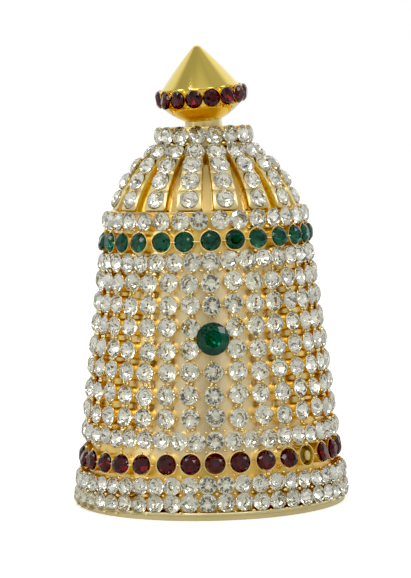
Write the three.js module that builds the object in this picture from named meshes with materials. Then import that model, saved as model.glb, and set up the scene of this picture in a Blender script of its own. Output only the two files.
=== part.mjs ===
// A small deity crown: a hollow gilt sheet bell, set all over with rows of cut glass stones in soldered cups,
// with a ribbed dome, a green stone on its front and a turned cone finial. Millimetres and degrees, +Z up.
// The origin is the middle of the rim's flat foot. The front faces -Y, and +X is to its right.
import * as THREE from "three";
import { ConvexGeometry } from "three/addons/geometries/ConvexGeometry.js";

// The sheet bell, measured on its outer face
const SHEET = 1.0;
const FOOT = { radius: 24.1, height: 1.0 };
const CONE = { bottomRadius: 22.85, topRadius: 16.45, height: 52.3 };
const DOME = { radius: 15.6, bend: 20.4, startLean: 19.5, endLean: 57.5 };
const COLLAR = { radius: 6.9, top: 67.35 };
const WALL_SEGMENTS = 36;
const DOME_STEPS = { inside: 2, outside: 4 };

// How a stone stands on the sheet: the heights of the row's back, of its girdle and of its table
const SEATING = { back: 0.3, girdle: 0.95, table: 1.9, emptyCup: 0.5 };
// A stone's plan as shares of its cell: the cut-off corners, and the margin round its table
const CUT = { corner: 0.3, tableMargin: 0.26 };

// The rows round the cone and the collar, from the foot up. A row turned half a step has two stones astride
// the front. Lift is the extra height of a row's cups.
const ROWS = [
  { name: "rim_rows", stone: "crystal", columns: 48, rows: 2, span: [1.3, 7.45], turn: 0.5, lift: 0.25 },
  { name: "ruby_row", stone: "ruby", columns: 32, rows: 1, span: [7.8, 11.25], turn: 0, lift: 0 },
  { name: "lower_row", stone: "crystal", columns: 44, rows: 1, span: [11.6, 14.95], turn: 0, lift: 0 },
  { name: "stone_field", stone: "crystal", columns: 32, rows: 7, span: [15.3, 42.2], turn: 0, lift: 0 },
  { name: "upper_row", stone: "crystal", columns: 36, rows: 1, span: [42.5, 45.4], turn: 0, lift: 0 },
  { name: "emerald_row", stone: "emerald", columns: 26, rows: 1, span: [45.75, 49.15], turn: 0, lift: 0.2 },
  { name: "dome_base_row", stone: "crystal", columns: 32, rows: 1, span: [49.45, 52.4], turn: 0.5, lift: 0 },
  { name: "collar_row", stone: "crystal", columns: 16, rows: 1, span: [64.3, 67.3], turn: 0.5, lift: 0 },
];
const EMPTY_RUBY_COLUMN = 4;
const FIELD_GAP = { column: 0, rows: [3, 4] };

// The dome's ribs, each a strip with a single file of stones
const RIBS = { count: 16, stones: 4, startLean: 19.5, stonePitch: 3.33, bottomWidth: 4.0, topWidth: 2.7 };

// The large green stone and its cup: the ring of corners at each height over the sheet
const CENTRE_STONE = [
  { ring: "cup foot", height: 1.25, radius: 1.75, corners: 16, turn: 0 },
  { ring: "girdle", height: 2.15, radius: 2.7, corners: 16, turn: 0 },
  { ring: "crown", height: 2.62, radius: 2.3, corners: 8, turn: 0 },
  { ring: "table", height: 2.9, radius: 1.6, corners: 8, turn: 0.5 },
];

// The finial, from the foot of its neck, which stands clear of the collar. It leans left and forward. Its tip
// is a ball that the cone meets at tipLean from level.
const FINIAL = {
  gap: 0.75, leanLeft: 3.6, leanForward: 5, neckRadius: 3.05, neckHeight: 0.85, bowlBend: [6.2, 1.75],
  bowlTop: 3.1, waistRadius: 6.75, coneBottom: 6.35, tipRadius: 1.1, tipLean: 39.9, height: 13.8,
};
const FINIAL_ROW = { columns: 15, rows: 1, span: [3.2, 6.3], girdle: 0.75, table: 1.4, turn: 0.5 };
const FINIAL_SEGMENTS = 24;
const BOWL_STEPS = 4;
const TIP_STEPS = 2;

const { degToRad, lerp } = THREE.MathUtils;
const SLOPE = Math.atan((CONE.bottomRadius - CONE.topRadius) / CONE.height);
const coneRadius = (z) => lerp(CONE.bottomRadius, CONE.topRadius, z / CONE.height);

const FINISHES = {
  gilt: { color: 0xd9a62e, roughness: 0.18, metalness: 1 },
  crystal: { color: 0xdfe3e2, roughness: 0.05, metalness: 0 },
  emerald: { color: 0x0b4a38, roughness: 0.05, metalness: 0 },
  ruby: { color: 0x4a0f1c, roughness: 0.05, metalness: 0 },
};
const materials = Object.fromEntries(
  Object.entries(FINISHES).map(([name, look]) => [name, new THREE.MeshStandardMaterial({ name, ...look })]),
);

function piece(name, finish, geometry) {
  const mesh = new THREE.Mesh(geometry, materials[finish]);
  mesh.name = name;
  return mesh;
}

// A profile of [radius, height] pairs turned about Z.
function turned(profile, segments) {
  const points = profile.map(([radius, height]) => new THREE.Vector2(radius, height));
  return new THREE.LatheGeometry(points, segments).rotateX(Math.PI / 2);
}

// The [radius, height] of the dome's sheet at a lean from upright, a distance out from its outer face.
function onDome(leanDegrees, out) {
  const lean = degToRad(leanDegrees);
  const start = degToRad(DOME.startLean);
  const reach = DOME.bend + out;
  return [
    DOME.radius - DOME.bend * Math.cos(start) + reach * Math.cos(lean),
    CONE.height - DOME.bend * Math.sin(start) + reach * Math.sin(lean),
  ];
}

// The bell in one sheet, from the middle of its top down the inside, round the foot and back up the outside.
function crownWall() {
  const dome = (steps, out) =>
    Array.from({ length: steps + 1 }, (_, i) => onDome(lerp(DOME.startLean, DOME.endLean, i / steps), out));
  const domeOutside = dome(DOME_STEPS.outside, 0);
  const collarFoot = domeOutside.at(-1)[1];
  const inside = [
    [coneRadius(0) - SHEET, 0],
    [coneRadius(CONE.height) - SHEET, CONE.height - SHEET],
    ...dome(DOME_STEPS.inside, -SHEET),
    [COLLAR.radius - SHEET, collarFoot],
    [COLLAR.radius - SHEET, COLLAR.top - SHEET],
    [0, COLLAR.top - SHEET],
  ];
  const outside = [
    [FOOT.radius, 0],
    [FOOT.radius, FOOT.height],
    [coneRadius(FOOT.height), FOOT.height],
    [CONE.topRadius, CONE.height],
    ...domeOutside,
    [COLLAR.radius, collarFoot],
    [COLLAR.radius, COLLAR.top],
    [0, COLLAR.top],
  ];
  return turned([...inside.reverse(), ...outside], WALL_SEGMENTS);
}

// A sheet of set stones with a flat back. Each stone's cell is three by three patches: the middle one is its
// table, the eight round it are its crown facets, and the tips of the cell's corners stay at girdle height.
// place(column, row, height) gives a point of the sheet, and tableAt(column, row) the height of one table.
function stoneSheet({ columns, rows, closed, backRows, girdle, back, place, tableAt }) {
  const points = [];
  const triangles = [];
  const patchesUp = 3 * rows;
  const acrossCount = closed ? 3 * columns : 3 * columns + 1;
  const backCount = closed ? columns : columns + 1;
  const inCell = (index, margin) => Math.floor(index / 3) + [0, margin, 1 - margin][index % 3];

  for (let j = 0; j <= patchesUp; j++) {
    for (let i = 0; i < acrossCount; i++) {
      const onTable = i % 3 !== 0 && j % 3 !== 0;
      const margin = onTable ? CUT.tableMargin : CUT.corner;
      const height = onTable ? tableAt(Math.floor(i / 3), Math.floor(j / 3)) : girdle;
      points.push(place(inCell(i, margin), inCell(j, margin), height));
    }
  }
  const backStart = points.length;
  for (let j = 0; j <= backRows; j++) {
    for (let i = 0; i < backCount; i++) points.push(place(i, (rows * j) / backRows, back));
  }
  const front = (i, j) => j * acrossCount + (i % acrossCount);
  const behind = (i, j) => backStart + j * backCount + (i % backCount);

  for (let j = 0; j < patchesUp; j++) {
    for (let i = 0; i < 3 * columns; i++) {
      const [a, b, c, d] = [front(i, j), front(i + 1, j), front(i + 1, j + 1), front(i, j + 1)];
      const fallsRight = ((i % 3) + (j % 3)) % 4 === 0;
      triangles.push(...(fallsRight ? [a, b, d, b, c, d] : [a, b, c, a, c, d]));
    }
  }
  for (let j = 0; j < backRows; j++) {
    for (let i = 0; i < columns; i++) {
      const [a, b, c, d] = [behind(i, j), behind(i + 1, j), behind(i + 1, j + 1), behind(i, j + 1)];
      triangles.push(a, d, c, a, c, b);
    }
  }
  // One edge of a cell: three patches in front and one behind.
  const edge = ([p, q, r, s], [m, n], outward) => {
    const faces = [[p, q, m], [q, n, m], [q, r, n], [r, s, n]];
    for (const [x, y, z] of faces) triangles.push(...(outward ? [x, y, z] : [y, x, z]));
  };
  const four = [0, 1, 2, 3];
  for (let i = 0; i < columns; i++) {
    edge(four.map((k) => front(3 * i + k, 0)), [behind(i, 0), behind(i + 1, 0)], false);
    edge(four.map((k) => front(3 * i + k, patchesUp)), [behind(i, backRows), behind(i + 1, backRows)], true);
  }
  for (let j = 0; j < rows && !closed; j++) {
    edge(four.map((k) => front(0, 3 * j + k)), [behind(0, j), behind(0, j + 1)], true);
    edge(four.map((k) => front(3 * columns, 3 * j + k)), [behind(columns, j), behind(columns, j + 1)], false);
  }
  return new THREE.BufferGeometry().setFromPoints(points).setIndex(triangles);
}

// A ring's place function: flat cells round a cone of the given slope, with column 0 at the front or turned.
function roundRing({ columns, rows, span, turn }, radiusAt, slope) {
  const step = (2 * Math.PI) / columns;
  const corner = (column, row, height) => {
    const wallHeight = lerp(...span, row / rows);
    const radius = (radiusAt(wallHeight) + height * Math.cos(slope)) / Math.cos(step / 2);
    const azimuth = (column - 0.5 + turn) * step;
    const z = wallHeight + height * Math.sin(slope);
    return new THREE.Vector3(radius * Math.sin(azimuth), -radius * Math.cos(azimuth), z);
  };
  return (column, row, height) => {
    const left = Math.floor(column);
    return corner(left, row, height).lerp(corner(left + 1, row, height), column - left);
  };
}

// The table height of one stone of a ring: sunk in the empty cup, flat where the large green stone stands.
function tableHeight(row, column, rowIndex) {
  if (row.name === "ruby_row" && column === EMPTY_RUBY_COLUMN) return SEATING.emptyCup;
  const inGap = column === FIELD_GAP.column && FIELD_GAP.rows.includes(rowIndex);
  if (row.name === "stone_field" && inGap) return SEATING.girdle;
  return SEATING.table + row.lift;
}

function stoneRing(row) {
  const onCollar = row.span[0] > CONE.height;
  const geometry = stoneSheet({
    ...row,
    closed: true,
    backRows: 1,
    girdle: SEATING.girdle + row.lift,
    back: SEATING.back,
    place: onCollar ? roundRing(row, () => COLLAR.radius, 0) : roundRing(row, coneRadius, SLOPE),
    tableAt: (column, rowIndex) => tableHeight(row, column, rowIndex),
  });
  return piece(row.name, row.stone, geometry);
}

// The ribs stand round the dome, with the front groove between the first and the last of them.
function domeRibs() {
  const leanStep = THREE.MathUtils.radToDeg(RIBS.stonePitch / DOME.bend);
  const place = (column, row, height) => {
    const [radius, z] = onDome(RIBS.startLean + row * leanStep, height);
    const width = lerp(RIBS.bottomWidth, RIBS.topWidth, row / RIBS.stones);
    return new THREE.Vector3((column - 0.5) * width, -radius, z);
  };
  const geometry = stoneSheet({
    columns: 1,
    rows: RIBS.stones,
    closed: false,
    backRows: RIBS.stones,
    girdle: SEATING.girdle,
    back: SEATING.back,
    place,
    tableAt: () => SEATING.table,
  });
  return Array.from({ length: RIBS.count }, (_, i) => {
    const rib = piece(`dome_rib_${String(i + 1).padStart(2, "0")}`, "crystal", geometry);
    rib.rotation.z = ((i + 0.5) * 2 * Math.PI) / RIBS.count;
    return rib;
  });
}

// The large green stone stands square to the cone, on the two cells that the field leaves flat.
function centreEmerald() {
  const corners = CENTRE_STONE.flatMap(({ height, radius, corners: count, turn }) =>
    Array.from({ length: count }, (_, i) => {
      const angle = ((i + turn) * 2 * Math.PI) / count;
      return new THREE.Vector3(radius * Math.cos(angle), radius * Math.sin(angle), height);
    }),
  );
  const field = ROWS.find(({ name }) => name === "stone_field");
  const z = lerp(...field.span, FIELD_GAP.rows[1] / field.rows);
  const stone = piece("centre_emerald", "emerald", new ConvexGeometry(corners));
  stone.position.set(0, -coneRadius(z), z);
  stone.rotation.x = Math.PI / 2 - SLOPE;
  return stone;
}

// The finial is one turned piece with a ring of red stones round its waist, and leans as a whole.
function finial() {
  const bowl = new THREE.QuadraticBezierCurve(
    new THREE.Vector2(FINIAL.neckRadius, FINIAL.neckHeight),
    new THREE.Vector2(...FINIAL.bowlBend),
    new THREE.Vector2(FINIAL.waistRadius, FINIAL.bowlTop),
  );
  const tip = Array.from({ length: TIP_STEPS }, (_, i) => {
    const lean = degToRad(lerp(FINIAL.tipLean, 90, i / TIP_STEPS));
    const middle = FINIAL.height - FINIAL.tipRadius;
    return [FINIAL.tipRadius * Math.cos(lean), middle + FINIAL.tipRadius * Math.sin(lean)];
  });
  const body = turned(
    [
      [0, 0],
      [FINIAL.neckRadius, 0],
      ...bowl.getPoints(BOWL_STEPS).map(({ x, y }) => [x, y]),
      [FINIAL.waistRadius, FINIAL.coneBottom],
      ...tip,
      [0, FINIAL.height],
    ],
    FINIAL_SEGMENTS,
  );
  const row = stoneSheet({
    ...FINIAL_ROW,
    closed: true,
    backRows: 1,
    back: SEATING.back,
    place: roundRing(FINIAL_ROW, () => FINIAL.waistRadius, 0),
    tableAt: () => FINIAL_ROW.table,
  });
  const group = new THREE.Group();
  group.position.z = COLLAR.top + FINIAL.gap;
  group.rotation.set(degToRad(FINIAL.leanForward), degToRad(-FINIAL.leanLeft), 0);
  return group.add(piece("finial", "gilt", body), piece("finial_ruby_row", "ruby", row));
}

const crown = new THREE.Group();
crown.name = "deity_crown";
crown.add(piece("crown_wall", "gilt", crownWall()));
crown.add(...ROWS.map(stoneRing));
crown.add(...domeRibs());
crown.add(centreEmerald());
crown.add(finial());

export default crown;
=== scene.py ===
"""A small deity crown: a gilt sheet bell under a cone finial, set all over with cut glass in soldered cups.

Sizes in the tables are millimetres and degrees, and MM turns millimetres to metres when a mesh is made. The
front faces -Y and +X is to its right, as in the solids. A place is a 4 by 4 matrix whose columns are right,
up, out and a point.
"""
import math

import bpy
import numpy as np
from mathutils import Matrix, Vector


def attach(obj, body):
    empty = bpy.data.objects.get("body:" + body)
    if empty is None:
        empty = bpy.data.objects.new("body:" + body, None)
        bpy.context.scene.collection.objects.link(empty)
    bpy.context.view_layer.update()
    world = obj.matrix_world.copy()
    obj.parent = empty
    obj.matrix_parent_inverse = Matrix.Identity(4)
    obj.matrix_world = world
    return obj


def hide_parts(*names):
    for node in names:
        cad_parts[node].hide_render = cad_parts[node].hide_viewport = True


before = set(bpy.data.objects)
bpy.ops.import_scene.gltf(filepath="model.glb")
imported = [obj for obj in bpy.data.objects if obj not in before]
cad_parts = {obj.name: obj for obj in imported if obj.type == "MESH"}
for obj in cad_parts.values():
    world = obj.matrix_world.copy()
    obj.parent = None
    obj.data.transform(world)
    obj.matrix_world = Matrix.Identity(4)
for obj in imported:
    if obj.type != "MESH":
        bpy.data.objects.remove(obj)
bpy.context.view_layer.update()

MM = 0.001
TINY = 1e-6
RANDOM = np.random.default_rng(7)

# The sheet bell, measured on its outer face. The cone's sheet lies back under the cups, because the real
# sheet is thinner than the solid one.
SHEET = 1.0
SHEET_BACK = 0.3
SHEET_SEGMENTS = 192
FOOT = {"radius": 24.1, "height": 1.0, "bead": 0.4, "bead_in": 0.15, "bead_up": 0.1}
CONE = {"bottom_radius": 22.85, "top_radius": 16.45, "height": 52.3}
DOME = {"radius": 15.6, "bend": 20.4, "start_lean": 19.5, "end_lean": 57.5, "wire": 0.2, "wire_out": 0.5}
DOME_POINTS = {"outside": 14, "inside": 8}
COLLAR = {"radius": 6.9, "top": 67.35, "round": 0.3}
SLOPE = math.atan((CONE["bottom_radius"] - CONE["top_radius"]) / CONE["height"])

# Drops of solder on a cup: shares of a step across and of a row up from the stone's middle, half sizes across
# and up, and how far they lie below the stone's girdle
PAIR_ABOVE_AND_BELOW = (
    (-0.1, 0.5, 0.28, 0.26, 0.4), (0.1, 0.5, 0.28, 0.26, 0.4),
    (-0.1, -0.5, 0.24, 0.24, 0.4), (0.1, -0.5, 0.24, 0.24, 0.4),
)
BETWEEN_CORNERS = ((0.5, 0.5, 0.36, 0.26, 0.28), (0.5, -0.5, 0.36, 0.26, 0.28))
LINKS = ((0.0, 0.56, 0.2, 0.3, 0.28), (0.5, 0.0, 0.7, 0.16, 0.28))
BESIDE = (0.5, 0.0, 0.24, 0.3, 0.4)

# The rows round the cone and the collar. Table is the height of a stone's table over the sheet, rim is how
# far a cup stands out past its stone, and lip is how far its edge stands over the stone's girdle. A row
# soldered by hand isn't level: it dips by so much at both sides and slants up to the right by so much, in its
# lowest and in its highest ring.
ROWS = {
    "rim_rows": {
        "glass": "crystal", "columns": 48, "rows": 2, "span": (1.3, 7.45), "turn": 0.5, "table": 2.23,
        "radius": 1.55, "rim": 0.02, "lip": -0.26, "dip": (1.0, 1.0), "slant": (0.3, 0.3),
        "nubs": BETWEEN_CORNERS},
    "ruby_row": {
        "glass": "ruby", "columns": 32, "rows": 1, "span": (7.8, 11.25), "turn": 0.0, "table": 2.0,
        "radius": 1.64, "rim": 0.33, "lip": -0.3, "dip": (0.5, 0.5), "slant": (0.5, 0.5), "nubs": LINKS},
    "lower_row": {
        "glass": "crystal", "columns": 44, "rows": 1, "span": (11.6, 14.95), "turn": 0.0, "table": 2.0,
        "radius": 1.6, "rim": 0.015, "lip": -0.27, "dip": (0.0, 0.0), "slant": (0.0, 0.0),
        "nubs": BETWEEN_CORNERS},
    "stone_field": {
        "glass": "crystal", "columns": 32, "rows": 7, "span": (15.3, 42.2), "turn": 0.0, "table": 2.05,
        "radius": 1.67, "rim": 0.1, "lip": -0.26, "dip": (0.0, -0.25), "slant": (0.15, 0.25),
        "nubs": (*PAIR_ABOVE_AND_BELOW, BESIDE)},
    "upper_row": {
        "glass": "crystal", "columns": 36, "rows": 1, "span": (42.5, 45.4), "turn": 0.0, "table": 2.0,
        "radius": 1.63, "rim": 0.02, "lip": -0.28, "dip": (0.0, 0.0), "slant": (0.5, 0.5),
        "nubs": BETWEEN_CORNERS},
    "emerald_row": {
        "glass": "emerald", "columns": 26, "rows": 1, "span": (45.75, 49.15), "turn": 0.0, "table": 2.2,
        "radius": 1.63, "rim": 0.31, "lip": -0.3, "dip": (0.0, 0.0), "slant": (0.45, 0.45), "nubs": LINKS},
    "dome_base_row": {
        "glass": "crystal", "columns": 32, "rows": 1, "span": (49.45, 52.4), "turn": 0.5, "table": 2.0,
        "radius": 1.62, "rim": 0.05, "lip": -0.27, "dip": (-0.15, -0.15), "slant": (0.25, 0.25),
        "nubs": BETWEEN_CORNERS[1:]},
    "collar_row": {
        "glass": "crystal", "columns": 16, "rows": 1, "span": (64.3, 67.3), "turn": 0.5, "table": 2.0,
        "radius": 1.6, "rim": 0.04, "lip": -0.26, "dip": (0.0, 0.0), "slant": (0.1, 0.1),
        "nubs": BETWEEN_CORNERS[1:]},
}
EMPTY_RUBY_COLUMN = 4
# The glue left in the empty cup, a film over its floor and a drop to the right, from the middle of its foot
EMPTY_CUP_GLUE = (
    {"glue": "film", "at": (0.0, 0.0, 0.0), "half_sizes": (1.48, 1.48, 0.3)},
    {"glue": "drop", "at": (0.75, -0.1, 0.55), "half_sizes": (0.65, 0.95, 0.5)},
)
# The cells of the field that the large stone covers
FIELD_GAP = {"column": 0, "rows": (3, 4)}
CENTRE = {"radius": 2.84, "table": 3.1, "rim": 0.03, "lip": -0.5, "taper": 0.45}

# The dome's ribs, each a file of pressed plates that overlap a little. Tables and radii go from the lowest
# stone up. From the second stone on, each is set more upright against its plate, by so many degrees a stone.
RIBS = {
    "count": 16, "turn": 0.46, "start_lean": 20.5, "pitch": 3.33, "overlap": 0.2, "bottom_width": 4.5,
    "top_width": 2.9, "tables": (2.15, 2.35, 2.4, 2.4), "radii": (1.62, 1.62, 1.68, 1.78), "rim": 0.03,
    "lip": -0.27, "upright": 3.8}
# A rib plate's section, from its hole out over the top and down the edge: a share of the way to the edge, an
# inset, a height over the sheet, and the metal from there on (0 the rib's, 1 the dome's)
# The plate's lower edge wall takes the dome's deeper gold, as painted shade for the groove beside it.
PLATE_SECTION = (
    (0.0, 0.0, -0.1, 0), (0.0, 0.0, 1.32, 0), (0.0, -0.12, 1.3, 0), (1.0, 0.22, 1.2, 0), (1.0, 0.07, 1.15, 0),
    (1.0, 0.0, 1.0, 1), (1.0, 0.0, -0.1, 0),
)
PLATE_SEGMENTS = 32
# The least metal between a plate's hole and its edge
PLATE_WEB = 0.05

# The finial, from the foot of its neck. The neck is sunk into the collar's top, so that the lean leaves no
# gap.
FINIAL = {
    "gap": 0.75, "sunk": 1.2, "lean_left": 4.2, "lean_forward": 5.0, "neck_radius": 3.35, "neck_height": 0.45,
    "bowl_bend": (5.5, 1.5), "bowl_radius": 7.1, "bowl_top": 3.2, "waist_radius": 6.75, "groove": 0.1,
    "groove_edge": 0.1, "shoulder_round": 0.8, "cone_radius": 7.0, "cone_bottom": 6.35, "cone_bulge": 0.15,
    "tip_radius": 1.1, "tip_lean": 39.9, "height": 13.8}
FINIAL_POINTS = {"bowl": 14, "shoulder": 9, "cone": 16, "tip": 7}
FINIAL_SEGMENTS = 128
FINIAL_ROW = {
    "columns": 15, "middle": 4.75, "turn": 0.5, "table": 1.48, "radius": 1.57, "rim": 0.02, "lip": -0.15}

# A stone's cut, as shares of its radius, and the room under its tip
CUT = {"table": 0.54, "star": 0.79, "crown": 0.34, "girdle": 0.2, "pavilion": 0.82, "off_middle": 0.1}
TIP_ROOM = 0.05
# A pressed cup. Its waist, shoulder and lip are at shares of its height. Values that end in _in are distances
# inside its outer radius, and the rest are sizes.
CUP = {
    "sunk": 0.4, "foot_in": 0.2, "waist": 0.4, "waist_in": 0.15, "shoulder": 0.78, "shoulder_in": 0.06,
    "lip": 0.88, "edge": 0.16, "edge_round": 0.03, "stone_room": 0.005, "seat_depth": 0.15, "seat_step": 0.01,
    "inner_waist_in": 0.25, "floor_in": 0.6, "floor_edge": 0.25, "floor": 0.35}
CUP_SEGMENTS = {"small": 20, "large": 32}

# How unevenly hand-set stones sit: degrees of tip, millimetres of shift, and how far a cup may crowd the row
# above or below
UNEVEN = {"tip": 4.0, "coloured_tip": 8.0, "shift": 0.13, "crowding": 0.1}
# How unevenly solder takes: the share of drops missing, the spread of their sizes, and their half depth
SOLDER = {"missing": 0.15, "spread": 0.22, "half_depth": 0.32}
# Edges sharper than this stay sharp, in degrees
SHARP_EDGE = 42
# No rounded corner takes more than this share of the line beside it
CORNER_SHARE = 0.4


# Shapes, as arrays of points and lists of faces

def turned(profile, segments):
    """Turns (radius, height) pairs about the third axis. A pair at radius 0 is one point."""
    points, rings, faces = [], [], []
    for radius, height in profile:
        count = 1 if radius < TINY else segments
        rings.append((len(points), count))
        for k in range(count):
            angle = 2 * math.pi * k / segments
            points.append((radius * math.cos(angle), radius * math.sin(angle), height))
    for (low, low_count), (high, high_count) in zip(rings, rings[1:]):
        for k in range(segments):
            n = (k + 1) % segments
            a, b = low + k % low_count, low + n % low_count
            c, d = high + n % high_count, high + k % high_count
            faces.append(tuple(dict.fromkeys((a, b, c, d))))
    return np.array(points), faces


def turned_runs(runs, segments):
    """Turns a profile made of runs, each with the number of its metal: the shape, and each face's metal."""
    profile = [point for run, _ in runs for point in run]
    metals = [metal for run, metal in runs for _ in run]
    return turned(profile, segments), [metal for metal in metals[1:] for _ in range(segments)]


def rounded(corners, radius, steps=4):
    """Rounds the inner corners of a profile with short curves."""
    corners = [np.array(c, float) for c in corners]
    profile = [corners[0]]
    for before, corner, after in zip(corners, corners[1:], corners[2:]):
        to_before, to_after = before - corner, after - corner
        start = corner + to_before * min(CORNER_SHARE, radius / np.linalg.norm(to_before))
        end = corner + to_after * min(CORNER_SHARE, radius / np.linalg.norm(to_after))
        profile += bent(start, corner, end, steps)
    profile.append(corners[-1])
    return profile


def bent(start, bend, end, steps):
    """A curve from start to end that is drawn toward a bend."""
    start, bend, end = np.array(start), np.array(bend), np.array(end)
    return [(1 - t) ** 2 * start + 2 * t * (1 - t) * bend + t ** 2 * end for t in np.linspace(0, 1, steps)]


def arc(middle, radius, first, last, steps):
    """Points round an arc, between two angles in degrees."""
    angles = np.radians(np.linspace(first, last, steps))
    return [(middle[0] + radius * math.cos(a), middle[1] + radius * math.sin(a)) for a in angles]


def girdle_height(size):
    """The height of a stone's widest edge."""
    return size["table"] - CUT["crown"] * size["radius"]


def cut_stone(size, floor):
    """A round cut stone over a floor: the shape, and each face's material (0 bare glass, 1 foiled)."""
    radius, table = size["radius"], size["table"]
    girdle = girdle_height(size)
    eighth = math.pi / 8

    def ring(share, height, turn, count):
        angles = [(k + turn) * 2 * math.pi / count for k in range(count)]
        return [(radius * share * math.cos(a), radius * share * math.sin(a), height) for a in angles]

    # A star point lies in the plane of the kite beside it.
    star_rise = (1 - CUT["star"] * math.cos(eighth)) / (1 - CUT["table"])
    points = ring(CUT["table"], table, 0, 8)
    points += ring(CUT["star"], girdle + star_rise * CUT["crown"] * radius, 0.5, 8)
    points += ring(1, girdle, 0, 16)
    # The girdle's lower edge waves, so that each pavilion facet is flat.
    lower = girdle - CUT["girdle"] * radius
    depth = min(CUT["pavilion"] * radius, lower - floor - TIP_ROOM)
    wave = depth * (1 - math.cos(eighth))
    points += [(x, y, lower - wave * (1 - k % 2)) for k, (x, y, _) in enumerate(ring(1, 0, 0, 16))]
    points.append((CUT["off_middle"] * radius, 0, lower - depth))
    table_at, star_at, girdle_at, lower_at, tip = 0, 8, 16, 32, 48

    faces = [tuple(range(8))]
    for k in range(8):
        left, right = star_at + (k - 1) % 8, star_at + k
        corner, middle, after = girdle_at + 2 * k, girdle_at + 2 * k + 1, girdle_at + (2 * k + 2) % 16
        faces.append((table_at + k, right, table_at + (k + 1) % 8))
        faces.append((table_at + k, left, corner, right))
        faces.append((right, corner, middle))
        faces.append((right, middle, after))
    for k in range(16):
        faces.append((girdle_at + (k + 1) % 16, girdle_at + k, lower_at + k, lower_at + (k + 1) % 16))
    foiled = [(lower_at + (k + 1) % 16, lower_at + k, tip) for k in range(16)]
    return (np.array(points), faces + foiled), [0] * len(faces) + [1] * len(foiled)


def cup(size, segments=CUP_SEGMENTS["small"], taper=0.0):
    """A pressed metal cup whose edge stands round a stone, its foot sunk in the solder."""
    top = girdle_height(size) + size["lip"]
    outer = size["radius"] + size["rim"]
    inner = max(size["radius"] + CUP["stone_room"], outer - CUP["edge"])
    waist = CUP["waist"] * top
    edge = top - CUP["edge_round"]
    outside = [
        (0, -CUP["sunk"]), (outer - CUP["foot_in"] - taper, -CUP["sunk"]),
        (outer - CUP["waist_in"] - taper, waist), (outer - CUP["shoulder_in"], CUP["shoulder"] * top),
        (outer, CUP["lip"] * top), (outer, edge),
    ]
    inside = [
        ((outer + inner) / 2, top), (inner, edge), (inner - CUP["seat_step"], top - CUP["seat_depth"]),
        (outer - CUP["inner_waist_in"] - taper, waist), (outer - CUP["floor_in"] - taper, -CUP["floor_edge"]),
        (0, -CUP["floor"]),
    ]
    return turned(outside + inside, segments)


# A drop of radius 1, to be stretched
NUB = turned([(math.sin(t), -math.cos(t)) for t in np.linspace(0, math.pi, 6)], 8)


def placed(shape, places):
    """Copies of a shape, one at each place, as one set of points and faces."""
    points, faces = shape
    flat = np.c_[points, np.ones(len(points))]
    all_points = np.concatenate([(flat @ place.T)[:, :3] for place in places])
    all_faces = [tuple(v + i * len(points) for v in f) for i in range(len(places)) for f in faces]
    return all_points, all_faces


def joined(*shapes):
    """Several sets of points and faces as one."""
    points, faces = [], []
    start = 0
    for shape_points, shape_faces in shapes:
        points.append(shape_points)
        faces += [tuple(v + start for v in f) for f in shape_faces]
        start += len(shape_points)
    return np.concatenate(points), faces


# Places on the crown

def cone_radius(z):
    return CONE["bottom_radius"] + (CONE["top_radius"] - CONE["bottom_radius"]) * z / CONE["height"]


def on_dome(lean, out):
    """The radius and height of the dome's sheet at a lean in degrees, a distance out from it."""
    start, lean = math.radians(DOME["start_lean"]), math.radians(lean)
    reach = DOME["bend"] + out
    return (DOME["radius"] - DOME["bend"] * math.cos(start) + reach * math.cos(lean),
            CONE["height"] - DOME["bend"] * math.sin(start) + reach * math.sin(lean))


def facing(azimuth, radius, z, lean):
    """A place that looks out from the axis at an azimuth from the front, leaning back by an angle."""
    front = np.array((math.sin(azimuth), -math.cos(azimuth), 0.0))
    right = np.array((math.cos(azimuth), math.sin(azimuth), 0.0))
    rise = np.array((0.0, 0.0, 1.0))
    place = np.eye(4)
    place[:3, 0] = right
    place[:3, 1] = rise * math.cos(lean) - front * math.sin(lean)
    place[:3, 2] = front * math.cos(lean) + rise * math.sin(lean)
    place[:3, 3] = front * radius + rise * z
    return place


def within(right, up, out, size):
    """A shift and a stretch inside a place."""
    place = np.diag((*size, 1.0))
    place[:3, 3] = (right, up, out)
    return place


def nudged(place, room):
    """The place of a cup soldered on by hand, off its mark by no more than the room on each side of it."""
    shift = RANDOM.normal(0, UNEVEN["shift"], 2).clip(np.negative(room), room)
    return place @ within(*shift, 0, (1, 1, 1))


def hand_set(place, girdle, tip=UNEVEN["tip"]):
    """The place of a stone in its cup: turned at random and a little tipped about the girdle's middle."""
    spin = Matrix.Rotation(RANDOM.uniform(0, 2 * math.pi), 4, "Z")
    tips = [Matrix.Rotation(math.radians(RANDOM.normal(0, tip)), 4, axis) for axis in "XY"]
    lift = Matrix.Translation((0, 0, girdle))
    return place @ np.array(lift @ tips[0] @ tips[1] @ spin @ lift.inverted())


def ring_places(row):
    """The ring and column of each stone of a row, with its place on the sheet."""
    step = 2 * math.pi / row["columns"]
    low, high = row["span"]
    rise = (high - low) / row["rows"]
    outer = row["radius"] + row["rim"]
    on_collar = low > CONE["height"]
    dips, slants = np.linspace(*row["dip"], row["rows"]), np.linspace(*row["slant"], row["rows"])
    for ring in range(row["rows"]):
        level = low + rise * (ring + 0.5)
        for column in range(row["columns"]):
            azimuth = (column + row["turn"]) * step
            z = level - dips[ring] * math.sin(azimuth) ** 2 + slants[ring] * math.sin(azimuth)
            radius = COLLAR["radius"] if on_collar else cone_radius(z)
            beside = step * (radius + girdle_height(row)) / 2 - outer
            above = rise / 2 - outer + UNEVEN["crowding"]
            room = np.maximum((beside, above), 0)
            yield ring, column, nudged(facing(azimuth, radius, z, 0 if on_collar else SLOPE), room)


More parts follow.
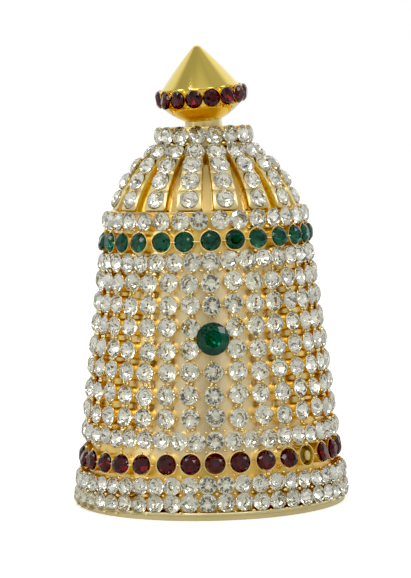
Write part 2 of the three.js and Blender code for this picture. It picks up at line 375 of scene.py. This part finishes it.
def solder_nubs(row, place):
    """The places of the drops of solder on one cup, some missing and no two the same size."""
    rise = (row["span"][1] - row["span"][0]) / row["rows"]
    for across, up, half_width, half_height, below in row["nubs"]:
        if RANDOM.random() < SOLDER["missing"]:
            continue
        height = girdle_height(row) - below
        step = 2 * math.pi / row["columns"] * (np.linalg.norm(place[:2, 3]) + height)
        size = RANDOM.normal(1, SOLDER["spread"])
        stretch = (half_width * size, half_height * size, SOLDER["half_depth"] * size)
        yield place @ within(across * step, up * rise, height, stretch)


# Materials

# Sockets of the colour mix node, which has several of each name
MIX_A, MIX_B, MIX_RESULT = 6, 7, 2
# Where the front's painted tone starts to end and ends, as the share of the sheet's direction toward the
# back, and over how many millimetres it fades above and below. This is painted light: the front and the sides
# get different golds for the different light they mirror.
PAINTED_FRONT_EDGE = (-0.9, -0.6)
PAINTED_FRONT_FADE = 4.0


def linear(hex_colour):
    """An sRGB hex colour as linear red, green, blue and alpha."""
    parts = [int(hex_colour[i:i + 2], 16) / 255 for i in (1, 3, 5)]
    return (*[p / 12.92 if p <= 0.04045 else ((p + 0.055) / 1.055) ** 2.4 for p in parts], 1.0)


def add(tree, kind, inputs, **settings):
    """Adds a node. An input is a value, or a (node, output) link."""
    node = tree.nodes.new(kind)
    for name, value in settings.items():
        setattr(node, name, value)
    for name, value in inputs.items():
        if isinstance(value, tuple) and isinstance(value[0], bpy.types.Node):
            tree.links.new(value[0].outputs[value[1]], node.inputs[name])
        else:
            node.inputs[name].default_value = value
    return node


def new_material(name):
    material = bpy.data.materials.new(name)
    material.use_nodes = True
    material.node_tree.nodes.clear()
    return material, material.node_tree


def per_metre(grain_mm):
    """The scale of a noise whose grain is so many millimetres across."""
    return 1000.0 / grain_mm


def patched(tree, colour, other_colour, grain_mm, detail):
    """Two colours in soft patches: the nodes that give the place, the patches and the mixed colour."""
    where = add(tree, "ShaderNodeTexCoord", {})
    patches = add(tree, "ShaderNodeTexNoise", {
        "Vector": (where, "Object"), "Scale": per_metre(grain_mm), "Detail": detail})
    tone = add(tree, "ShaderNodeMix", {
        "Factor": (patches, "Fac"), MIX_A: linear(colour), MIX_B: linear(other_colour)}, data_type="RGBA")
    return where, patches, tone


def painted_side_tone(tree, where, tone, painted_sides):
    """Painted light: one tone kept to the front between two heights, with another colour round it, for the
    different light that the front and the sides mirror.
    """
    low, high = painted_sides["heights"]
    half = (high - low) / 2
    level = add(tree, "ShaderNodeVectorMath", {0: (where, "Object"), 1: (1, 1, 0)}, operation="MULTIPLY")
    around = add(tree, "ShaderNodeVectorMath", {0: (level, 0)}, operation="NORMALIZE")
    side = add(tree, "ShaderNodeSeparateXYZ", {"Vector": (around, 0)})
    behind = add(tree, "ShaderNodeMapRange", {
        "Value": (side, "Y"), "From Min": PAINTED_FRONT_EDGE[0], "From Max": PAINTED_FRONT_EDGE[1]})
    place = add(tree, "ShaderNodeSeparateXYZ", {"Vector": (where, "Object")})
    offset = add(tree, "ShaderNodeMath", {0: (place, "Z"), 1: (low + high) / 2 * MM}, operation="SUBTRACT")
    away = add(tree, "ShaderNodeMath", {0: (offset, 0)}, operation="ABSOLUTE")
    beyond = add(tree, "ShaderNodeMapRange", {
        "Value": (away, 0), "From Min": half * MM, "From Max": (half + PAINTED_FRONT_FADE) * MM})
    kept = add(tree, "ShaderNodeMath", {0: (behind, 0), 1: (beyond, 0)}, operation="MAXIMUM")
    return add(tree, "ShaderNodeMix", {
        "Factor": (kept, 0), MIX_A: (tone, MIX_RESULT), MIX_B: linear(painted_sides["colour"])}, data_type="RGBA")


def gilt(name, colour, worn_colour, roughness, ripple_mm, ripple, painted_sides=None):
    """Gilt brass: bright plating that mirrors the room, dulled in soft patches and rippled by hand work."""
    material, tree = new_material(name)
    where, wear, tone = patched(tree, colour, worn_colour, grain_mm=7.0, detail=4.0)
    # Painted light: a colour of its own round the sides and back, apart from the front's tone.
    if painted_sides:
        tone = painted_side_tone(tree, where, tone, painted_sides)
    gloss = add(tree, "ShaderNodeMapRange", {
        "Value": (wear, "Fac"), "From Min": 0.25, "From Max": 0.75,
        "To Min": roughness * 0.75, "To Max": roughness * 1.25})
    wave = add(tree, "ShaderNodeTexNoise", {"Vector": (where, "Object"), "Scale": per_metre(ripple_mm)})
    bump = add(tree, "ShaderNodeBump", {"Height": (wave, "Fac"), "Strength": ripple, "Distance": 0.1 * MM})
    shader = add(tree, "ShaderNodeBsdfPrincipled", {
        "Base Color": (tone, MIX_RESULT), "Metallic": 1.0, "Roughness": (gloss, 0), "Normal": (bump, 0),
        "Coat Weight": 0.6, "Coat Roughness": 0.1})
    add(tree, "ShaderNodeOutputMaterial", {"Surface": (shader, 0)})
    return material


def cut_glass(name, colour, film_colour):
    """Cut and polished glass: clear and sharp, with a thin film of handling that softens some facets."""
    material, tree = new_material(name)
    _, film, tone = patched(tree, colour, film_colour, grain_mm=2.5, detail=3.0)
    haze = add(tree, "ShaderNodeMapRange", {"Value": (film, "Fac"), "From Min": 0.5, "To Max": 0.04})
    shader = add(tree, "ShaderNodeBsdfPrincipled", {
        "Base Color": (tone, MIX_RESULT), "Roughness": (haze, 0), "IOR": 1.54, "Transmission Weight": 1.0})
    add(tree, "ShaderNodeOutputMaterial", {"Surface": (shader, 0)})
    return material


def foil(name, colour, dull_colour):
    """Silvered foil on a stone's back: a mirror seen through the glass, dull where its lacquer is thick."""
    material, tree = new_material(name)
    _, lacquer, tone = patched(tree, colour, dull_colour, grain_mm=1.2, detail=2.0)
    gloss = add(tree, "ShaderNodeMapRange", {"Value": (lacquer, "Fac"), "To Min": 0.03, "To Max": 0.09})
    shader = add(tree, "ShaderNodeBsdfPrincipled", {
        "Base Color": (tone, MIX_RESULT), "Metallic": 1.0, "Roughness": (gloss, 0)})
    add(tree, "ShaderNodeOutputMaterial", {"Surface": (shader, 0)})
    return material


def dried_glue(name, colour, dark_colour):
    """Dried glue: a dull skin, cloudy in patches, that gives a lost stone's cup its brown middle."""
    material, tree = new_material(name)
    _, _, tone = patched(tree, colour, dark_colour, grain_mm=0.8, detail=3.0)
    shader = add(tree, "ShaderNodeBsdfPrincipled", {
        "Base Color": (tone, MIX_RESULT), "Roughness": 0.4, "IOR": 1.5})
    add(tree, "ShaderNodeOutputMaterial", {"Surface": (shader, 0)})
    return material


# The sheet and the dome, with painted light: one gold on the front and another round the sides and back, for
# the different light they mirror. On the sheet the front is pale and the sides are a deeper gold, for the
# orange light bounced between the cups.
GILT_SHEET = gilt("gilt_brass_sheet", "#F5E3B7", "#EDD8A5", 0.3, 9.0, 0.10,
                  {"colour": "#EECC70", "heights": (12.0, 43.0)})
# The dome is painted a deeper gold than the sheet, as painted shade for the grooves between the rib plates.
GILT_DOME = gilt("gilt_brass_dome", "#DCC07C", "#D2B46A", 0.25, 9.0, 0.10,
                 {"colour": "#E8CC78", "heights": (50.0, 70.0)})
# Cups, yellow and bright round clear stones, with the rims round the coloured ones painted paler, a painted
# highlight for their bright edges
GILT_CUPS = gilt("gilt_brass_cups", "#ECCA68", "#E2BC54", 0.2, 2.0, 0.05)
GILT_RIMS = gilt("gilt_brass_rims", "#FAE6AA", "#F2D892", 0.3, 2.0, 0.05)
# Pressed rib plates, drops of solder painted pale as a painted highlight for their glints, and the dull
# strips of the foot, the wire, the collar and the neck
GILT_RIBS = gilt("gilt_brass_ribs", "#E2D29A", "#D8C488", 0.33, 5.0, 0.05)
GILT_SOLDER = gilt("gilt_solder", "#FCEEB0", "#F6E29A", 0.25, 2.0, 0.05)
# The strips are painted pale, partly as a painted reflection of the white light that the neck and the foot
# mirror.
GILT_STRIPS = gilt("gilt_brass_strips", "#E8DAA8", "#DECC94", 0.35, 5.0, 0.05)
# The turned finial, smoothest on its cone, its bowl painted a deeper gold as painted shade for the darker,
# orange light under the ruby ring
GILT_TURNED = gilt("gilt_brass_turned", "#E0CA68", "#DAC05C", 0.13, 6.0, 0.04)
GILT_BOWL = gilt("gilt_brass_bowl", "#F4D268", "#ECC458", 0.15, 6.0, 0.04)
FOIL = foil("silver_foil", "#F2F1E7", "#E2E1D7")
DRIED_GLUE = {
    "film": dried_glue("dried_glue_film", "#94731E", "#5C4010"),
    "drop": dried_glue("dried_glue_drop", "#DECC92", "#C8B06A"),
}
GLASS = {
    "crystal": cut_glass("clear_cut_glass", "#FEFEFD", "#F8F9F6"),
    "emerald": cut_glass("green_cut_glass", "#06604A", "#05503C"),
    "ruby": cut_glass("red_cut_glass", "#5C0B18", "#440710"),
}


# Pieces

def piece(name, shape, materials, slot, node, face_materials=None, smooth=True):
    """Makes a mesh piece of the crown in place of a node, with the number of each face's material."""
    points, faces = shape
    mesh = bpy.data.meshes.new(name)
    mesh.from_pydata((points * MM).tolist(), [], faces)
    for material in materials:
        mesh.materials.append(material)
    if face_materials:
        mesh.polygons.foreach_set("material_index", face_materials)
    if smooth:
        mesh.shade_smooth()
        mesh.set_sharp_from_angle(angle=math.radians(SHARP_EDGE))
    mesh.update()
    made = bpy.data.objects.new(name, mesh)
    bpy.context.collection.objects.link(made)
    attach(made, "root")
    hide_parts(node)


def stones_piece(name, glass, size, places, node, floor=-SHEET_BACK, tip=UNEVEN["tip"]):
    """The stones of one node, each with bare glass over its foiled back."""
    stone, face_materials = cut_stone(size, floor)
    shape = placed(stone, [hand_set(place, girdle_height(size), tip) for place in places])
    piece(name, shape, [GLASS[glass], FOIL], glass, node, face_materials * len(places), smooth=False)


def crown_sheet():
    """The bell's sheet, turned in one from its inside round the foot and up to the collar's top."""
    first, last = DOME["start_lean"], DOME["end_lean"]
    dome = [on_dome(lean, 0) for lean in np.linspace(first, last, DOME_POINTS["outside"])]
    dome_inside = [on_dome(lean, -SHEET) for lean in np.linspace(last, first, DOME_POINTS["inside"])]
    collar_foot = dome[-1][1]
    shelf = CONE["height"]
    collar_inside = COLLAR["radius"] - SHEET
    inside = [
        (0, COLLAR["top"] - SHEET), (collar_inside, COLLAR["top"] - SHEET), (collar_inside, collar_foot),
        *dome_inside, (CONE["top_radius"] - SHEET, shelf - SHEET),
    ]
    bead_middle = (FOOT["radius"] - FOOT["bead_in"], FOOT["height"] + FOOT["bead_up"])
    foot = [
        (cone_radius(0) - SHEET, 0), (FOOT["radius"], 0), (FOOT["radius"], bead_middle[1] - FOOT["bead"]),
        *arc(bead_middle, FOOT["bead"], -60, 160, 12),
    ]
    cone = [(cone_radius(z) - SHEET_BACK, z) for z in (bead_middle[1], shelf)]
    wire_middle = (DOME["radius"] + DOME["wire_out"], shelf + DOME["wire"] / 2)
    wire = arc(wire_middle, DOME["wire"], -30, 210, 9)
    top = [(COLLAR["radius"], collar_foot), (COLLAR["radius"], COLLAR["top"]), (0, COLLAR["top"])]
    runs = ((inside, 0), (foot, 2), (cone, 0), (wire, 2), (dome, 1), (rounded(top, COLLAR["round"]), 2))
    shape, metals = turned_runs(runs, SHEET_SEGMENTS)
    piece("crown_sheet", shape, [GILT_SHEET, GILT_DOME, GILT_STRIPS], "gilt", "crown_wall", metals)


def stone_rings():
    """The rows of cups and stones round the cone and the collar, with one cup of the red row empty."""
    for node, row in ROWS.items():
        clear = row["glass"] == "crystal"
        cups, stones, nubs, emptied = [], [], [], []
        for ring, column, place in ring_places(row):
            if node == "stone_field" and column == FIELD_GAP["column"] and ring in FIELD_GAP["rows"]:
                continue
            cups.append(place)
            nubs += solder_nubs(row, place)
            if node == "ruby_row" and column == EMPTY_RUBY_COLUMN:
                emptied.append(place)
            else:
                stones.append(place)
        shapes = [placed(cup(row), cups), placed(NUB, nubs)]
        materials = [GILT_CUPS if clear else GILT_RIMS, GILT_SOLDER]
        for place in emptied:
            for left in EMPTY_CUP_GLUE:
                shapes.append(placed(NUB, [place @ within(*left["at"], left["half_sizes"])]))
                materials.append(DRIED_GLUE[left["glue"]])
        face_materials = [i for i, (_, faces) in enumerate(shapes) for _ in faces]
        piece(node + "_cups", joined(*shapes), materials, "gilt", node, face_materials)
        floor_under = 0.0 if node == "collar_row" else -SHEET_BACK
        tip = UNEVEN["tip"] if clear else UNEVEN["coloured_tip"]
        stones_piece(node + "_stones", row["glass"], row, stones, node, floor_under, tip)


def rib_lean(row):
    """The lean of the middle of a rib's plate."""
    return RIBS["start_lean"] + (row + 0.5) * math.degrees(RIBS["pitch"] / DOME["bend"])


def rib_plate(azimuth, row):
    """One pressed plate of a rib, with a round hole for its cup and rounded edges, as points and faces."""
    hole = RIBS["radii"][row] + RIBS["rim"]
    half_pitch = RIBS["pitch"] / 2 + RIBS["overlap"]
    taper = (RIBS["top_width"] - RIBS["bottom_width"]) / len(RIBS["radii"]) / RIBS["pitch"] / 2
    half_width = RIBS["bottom_width"] / 2 + taper * RIBS["pitch"] * (row + 0.5)
    points, faces = [], []
    for share, inset, height, _ in PLATE_SECTION:
        for k in range(PLATE_SEGMENTS):
            angle = 2 * math.pi * k / PLATE_SEGMENTS
            across, up = math.cos(angle), math.sin(angle)
            to_side = half_width / max(abs(across) - taper * up, TINY)
            to_end = half_pitch / max(abs(up), TINY)
            edge = max(min(to_side, to_end), hole + PLATE_WEB)
            reach = hole + (edge - hole) * share - inset
            lean = rib_lean(row) + math.degrees(reach * up / DOME["bend"])
            place = facing(azimuth, *on_dome(lean, 0), math.radians(lean))
            points.append((place @ (reach * across, 0, height, 1))[:3])
    bands = len(PLATE_SECTION)
    for band in range(bands):
        low, high = band * PLATE_SEGMENTS, (band + 1) % bands * PLATE_SEGMENTS
        for k in range(PLATE_SEGMENTS):
            n = (k + 1) % PLATE_SEGMENTS
            faces.append((low + k, high + k, high + n, low + n))
    return np.array(points), faces


def dome_ribs():
    """The ribs up the dome, each with its strip of plates, its cups and its stones."""
    plate_metals = [metal for *_, metal in PLATE_SECTION for _ in range(PLATE_SEGMENTS)]
    for i in range(RIBS["count"]):
        azimuth = (i + RIBS["turn"]) * 2 * math.pi / RIBS["count"]
        plates, cups, stones, face_materials = [], [], [], []
        for row, (radius, table) in enumerate(zip(RIBS["radii"], RIBS["tables"])):
            size = {"radius": radius, "table": table, "rim": RIBS["rim"], "lip": RIBS["lip"]}
            lean = rib_lean(row)
            place = facing(azimuth, *on_dome(lean, 0), math.radians(lean - row * RIBS["upright"]))
            plates.append(rib_plate(azimuth, row))
            cups.append(placed(cup(size), [place]))
            stone, stone_materials = cut_stone(size, 0.0)
            stones.append(placed(stone, [hand_set(place, girdle_height(size))]))
            face_materials += stone_materials
        node = f"dome_rib_{i + 1:02d}"
        metals = plate_metals * len(plates)
        piece(node + "_strip", joined(*plates), [GILT_RIBS, GILT_DOME], "gilt", node, metals)
        piece(node + "_cups", joined(*cups), [GILT_CUPS], "gilt", node)
        glass = [GLASS["crystal"], FOIL]
        piece(node + "_stones", joined(*stones), glass, "crystal", node, face_materials, smooth=False)


def centre_stone():
    """The large green stone on the front, in a cup that narrows to its foot."""
    field = ROWS["stone_field"]
    low, high = field["span"]
    z = low + (high - low) * FIELD_GAP["rows"][1] / field["rows"]
    place = facing(0, cone_radius(z), z, SLOPE)
    metal = placed(cup(CENTRE, CUP_SEGMENTS["large"], CENTRE["taper"]), [place])
    piece("centre_emerald_cup", metal, [GILT_CUPS], "gilt", "centre_emerald")
    stones_piece("centre_emerald_stone", "emerald", CENTRE, [place], "centre_emerald", tip=0.0)


def finial():
    """The neck, bowl and cone, turned in one and leaning, with a ring of red stones round the waist."""
    foot = Matrix.Translation((0, 0, COLLAR["top"] + FINIAL["gap"]))
    lean = np.array(foot @ Matrix.Rotation(math.radians(FINIAL["lean_forward"]), 4, "X")
                    @ Matrix.Rotation(math.radians(-FINIAL["lean_left"]), 4, "Y"))
    neck_radius, bowl_top, height = FINIAL["neck_radius"], FINIAL["bowl_top"], FINIAL["height"]
    neck = [(0, -FINIAL["sunk"]), (neck_radius, -FINIAL["sunk"])]
    bowl = bent((neck_radius, FINIAL["neck_height"]), FINIAL["bowl_bend"], (FINIAL["bowl_radius"], bowl_top),
                FINIAL_POINTS["bowl"])
    groove_radius = FINIAL["waist_radius"] - FINIAL["groove"]
    groove = [(groove_radius, bowl_top + FINIAL["groove_edge"]),
              (groove_radius, FINIAL["cone_bottom"] - FINIAL["groove_edge"])]
    tip_middle = (0, height - FINIAL["tip_radius"])
    tip = arc(tip_middle, FINIAL["tip_radius"], FINIAL["tip_lean"], 90, FINIAL_POINTS["tip"])
    out, tip_lean = 2 * FINIAL["cone_bulge"], math.radians(FINIAL["tip_lean"])
    swell = ((FINIAL["cone_radius"] + tip[0][0]) / 2 + out * math.cos(tip_lean),
             (FINIAL["cone_bottom"] + tip[0][1]) / 2 + out * math.sin(tip_lean))
    cone = bent((FINIAL["cone_radius"], FINIAL["cone_bottom"]), swell, tip[0], FINIAL_POINTS["cone"])
    corner = [groove[-1], cone[0], cone[2]]
    shoulder = rounded(corner, FINIAL["shoulder_round"], FINIAL_POINTS["shoulder"])[1:-1]
    runs = ((neck, 2), (bowl[:2], 2), (bowl[2:], 1), (groove, 1), (shoulder, 0), (cone[2:], 0),
            (tip[1:-1], 0), ([(0, height)], 0))
    shape, metals = turned_runs(runs, FINIAL_SEGMENTS)
    body = placed(shape, [lean])
    piece("finial_body", body, [GILT_TURNED, GILT_BOWL, GILT_STRIPS], "gilt", "finial", metals)

    places = []
    for k in range(FINIAL_ROW["columns"]):
        azimuth = (k + FINIAL_ROW["turn"]) * 2 * math.pi / FINIAL_ROW["columns"]
        places.append(lean @ facing(azimuth, FINIAL["waist_radius"], FINIAL_ROW["middle"], 0))
    metal = placed(cup(FINIAL_ROW), places)
    piece("finial_ruby_cups", metal, [GILT_CUPS], "gilt", "finial_ruby_row")
    stones_piece("finial_rubies", "ruby", FINIAL_ROW, places, "finial_ruby_row", -FINIAL["groove"],
                 UNEVEN["coloured_tip"])


# The studio, in metres: a light tent round a pale floor, with lamps in front, at the left and high up

# The glow of the tent's wall, and what the camera sees of it
TENT = {"level": 0.52, "seen": 1.0}
# Patches on the tent's wall: the direction toward each, the angles from it where it starts and where it is
# full, and what it adds. The dark one in front is the opening for the camera.
GLOWS = (
    {"toward": (0.0, -1.0, 0.1), "edge": 40, "full": 25, "adds": 0.15},
    {"toward": (0.0, -0.75, 0.66), "edge": 38, "full": 18, "adds": 0.35},
    {"toward": (-0.02, -1.0, 0.1), "edge": 14, "full": 7, "adds": -0.6},
    {"toward": (-0.95, -0.25, 0.2), "edge": 35, "full": 15, "adds": 0.25},
    {"toward": (-0.6, 0.45, 0.66), "edge": 55, "full": 38, "adds": -0.02},
    {"toward": (0.6, 0.45, 0.66), "edge": 55, "full": 38, "adds": 0.08},
    {"toward": (0.0, 1.0, 0.12), "edge": 78, "full": 60, "adds": 0.55},
)
LAMPS = (
    {"name": "key_lamp", "at": (-0.181, -0.389, 0.40), "size": (0.16, 0.16), "radiance": 4.5},
    {"name": "fill_lamp", "at": (0.2, -0.378, 0.40), "size": (0.12, 0.12), "radiance": 4.5},
    {"name": "high_left_lamp", "at": (-0.439, -0.126, 0.397), "size": (0.14, 0.14), "radiance": 4.5},
    {"name": "high_right_lamp", "at": (0.439, -0.126, 0.397), "size": (0.13, 0.13), "radiance": 4.0},
    {"name": "left_lamp", "at": (-0.532, -0.215, 0.12), "size": (0.03, 0.08), "radiance": 9.0},
    {"name": "spot", "at": (-0.262, -0.223, 0.57), "size": (0.02, 0.02), "radiance": 100.0},
)
LAMPS_AIM = (0, 0, 0.04)
FLOOR_HALF = 3.0
CAMERA = {
    "distance": 0.3996, "eye": 0.0648, "turn": -2.2, "roll": 1.25, "aim": (-0.0003, 0, 0.0381), "lens": 138.3}
# The photo's darks are a little crushed.
BLACK_LEVEL = 0.018


def floor():
    """A pale acrylic sheet, as bright to the eye as paper lit from below, that throws little light back."""
    corners = [(x * FLOOR_HALF, y * FLOOR_HALF, 0) for x, y in ((-1, -1), (1, -1), (1, 1), (-1, 1))]
    mesh = bpy.data.meshes.new("floor")
    mesh.from_pydata(corners, [], [(0, 1, 2, 3)])
    sheet = bpy.data.objects.new("floor", mesh)
    bpy.context.collection.objects.link(sheet)
    material, tree = new_material("pale_acrylic")
    path = add(tree, "ShaderNodeLightPath", {})
    glow = add(tree, "ShaderNodeMapRange", {"Value": (path, "Is Camera Ray"), "To Max": 0.5})
    shader = add(tree, "ShaderNodeBsdfPrincipled", {
        "Base Color": linear("#E0E0DE"), "Roughness": 0.7, "Emission Color": linear("#FFFFFF"),
        "Emission Strength": (glow, 0)})
    add(tree, "ShaderNodeOutputMaterial", {"Surface": (shader, 0)})
    mesh.materials.append(material)


def light_tent():
    """The tent's wall with its glows, as the world, and the lamps."""
    world = bpy.data.worlds.new("light_tent")
    bpy.context.scene.world = world
    world.use_nodes = True
    tree = world.node_tree
    tree.nodes.clear()
    where = add(tree, "ShaderNodeTexCoord", {})
    level = TENT["level"]
    for glow in GLOWS:
        toward = Vector(glow["toward"]).normalized()
        edge, full = math.cos(math.radians(glow["edge"])), math.cos(math.radians(glow["full"]))
        along = add(tree, "ShaderNodeVectorMath", {0: (where, "Generated"), 1: toward},
                    operation="DOT_PRODUCT")
        inside = add(tree, "ShaderNodeMapRange", {
            "Value": (along, "Value"), "From Min": edge, "From Max": full, "To Max": glow["adds"]},
            interpolation_type="SMOOTHSTEP")
        total = add(tree, "ShaderNodeMath", {0: (inside, 0), 1: level}, operation="ADD")
        level = (total, 0)
    path = add(tree, "ShaderNodeLightPath", {})
    shown = add(tree, "ShaderNodeMix", {"Factor": (path, "Is Camera Ray"), "A": level, "B": TENT["seen"]})
    background = add(tree, "ShaderNodeBackground", {"Color": linear("#FFFFFF"), "Strength": (shown, 0)})
    add(tree, "ShaderNodeOutputWorld", {"Surface": (background, 0)})

    for lamp in LAMPS:
        light = bpy.data.lights.new(lamp["name"], "AREA")
        light.shape = "RECTANGLE"
        light.size, light.size_y = lamp["size"]
        light.energy = math.pi * light.size * light.size_y * lamp["radiance"]
        made = bpy.data.objects.new(lamp["name"], light)
        made.location = lamp["at"]
        made.rotation_euler = (Vector(LAMPS_AIM) - made.location).to_track_quat("-Z", "Y").to_euler()
        made.visible_camera = False
        bpy.context.collection.objects.link(made)


def camera():
    """A little above the crown's middle and a touch to its left, rolled so that the crown leans a little."""
    turn, roll = math.radians(CAMERA["turn"]), math.radians(CAMERA["roll"])
    data = bpy.data.cameras.new("camera")
    data.lens = CAMERA["lens"]
    view = bpy.data.objects.new("camera", data)
    view.location = (CAMERA["distance"] * math.sin(turn), -CAMERA["distance"] * math.cos(turn), CAMERA["eye"])
    look = (Vector(CAMERA["aim"]) - view.location).to_track_quat("-Z", "Y")
    view.rotation_euler = (look @ Matrix.Rotation(-roll, 3, "Z").to_quaternion()).to_euler()
    bpy.context.collection.objects.link(view)
    bpy.context.scene.camera = view


camera()
crown_sheet()
stone_rings()
dome_ribs()
centre_stone()
finial()
floor()
light_tent()

scene = bpy.context.scene
scene.view_settings.view_transform = "Standard"
scene.view_settings.use_curve_mapping = True
scene.view_settings.curve_mapping.black_level = (BLACK_LEVEL, BLACK_LEVEL, BLACK_LEVEL)
# Light passes through several facets of cut glass, so more bounces are kept than usual.
scene.cycles.max_bounces = 16
scene.cycles.transmission_bounces = 12
scene.cycles.glossy_bounces = 10
